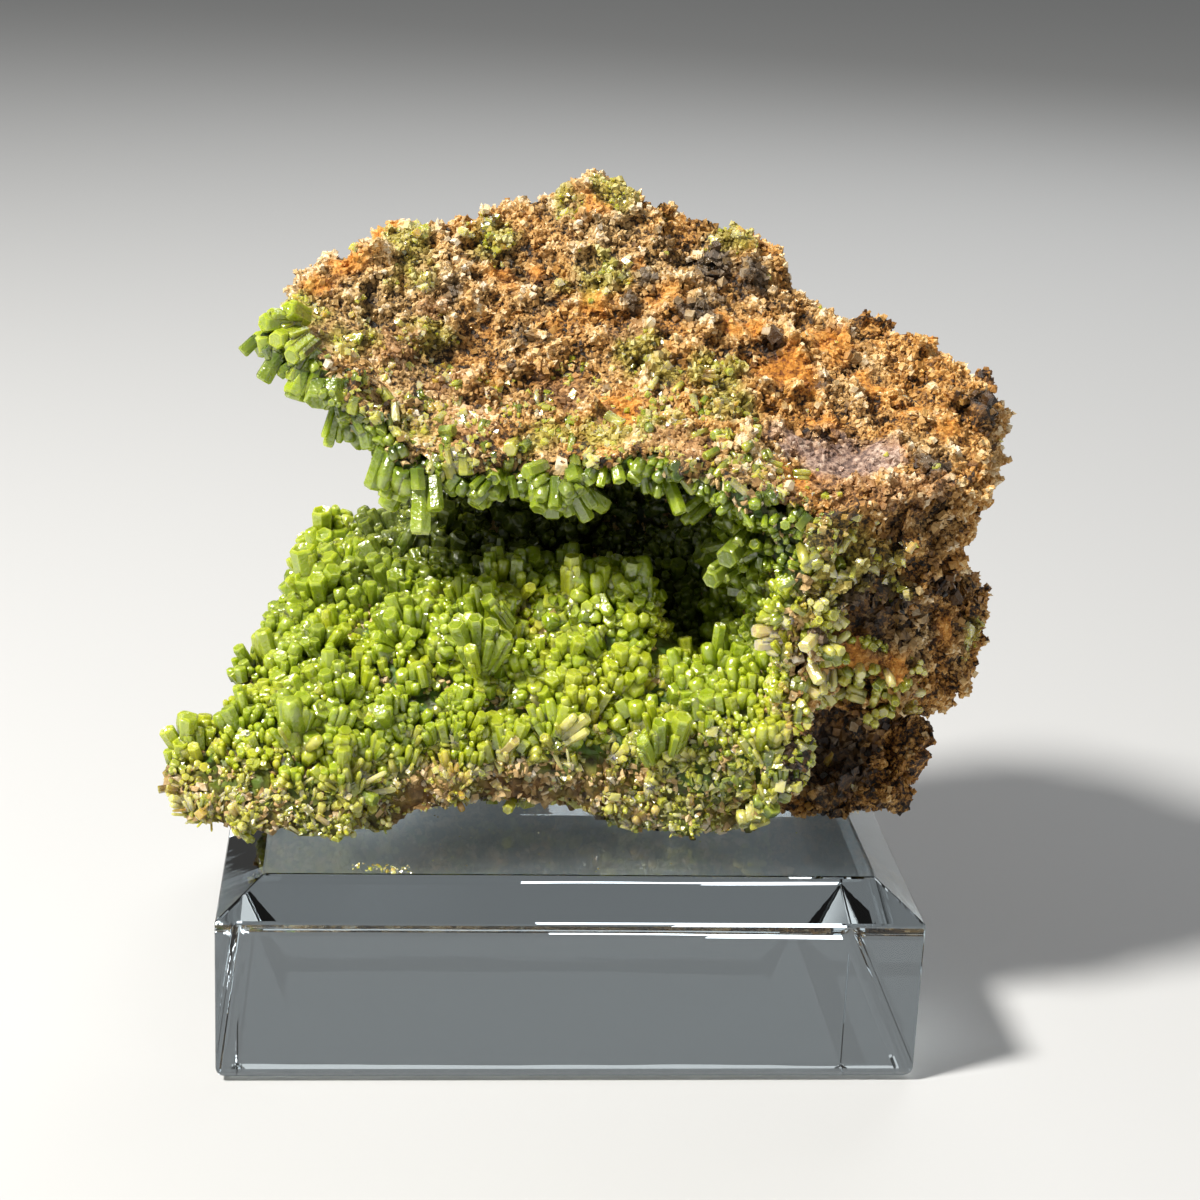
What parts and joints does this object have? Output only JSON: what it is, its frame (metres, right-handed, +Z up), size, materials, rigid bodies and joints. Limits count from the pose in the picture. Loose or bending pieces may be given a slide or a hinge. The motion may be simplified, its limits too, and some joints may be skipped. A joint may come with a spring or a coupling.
{
  "type": "pyromorphite crystal specimen on a display block",
  "caption": "Green pyromorphite crystals lining an open vug in a rusty limonite matrix, resting on a clear bevelled acrylic block.",
  "frame": {"origin": "middle of the block's underside", "axes": "+X to the viewer's right, along the block's long side; +Y away from the viewer, the vug's mouth opens towards -Y; +Z up"},
  "size_m": [0.1248, 0.0827, 0.121],
  "materials": {
    "clear_acrylic": "clear, polished",
    "limonite": "rough, porous",
    "pyromorphite": "resinous, translucent"
  },
  "bodies": {
    "root": {"acrylic_block": "clear_acrylic", "matrix": "limonite", "crystal_lining": "pyromorphite"}
  },
  "joints": []
}
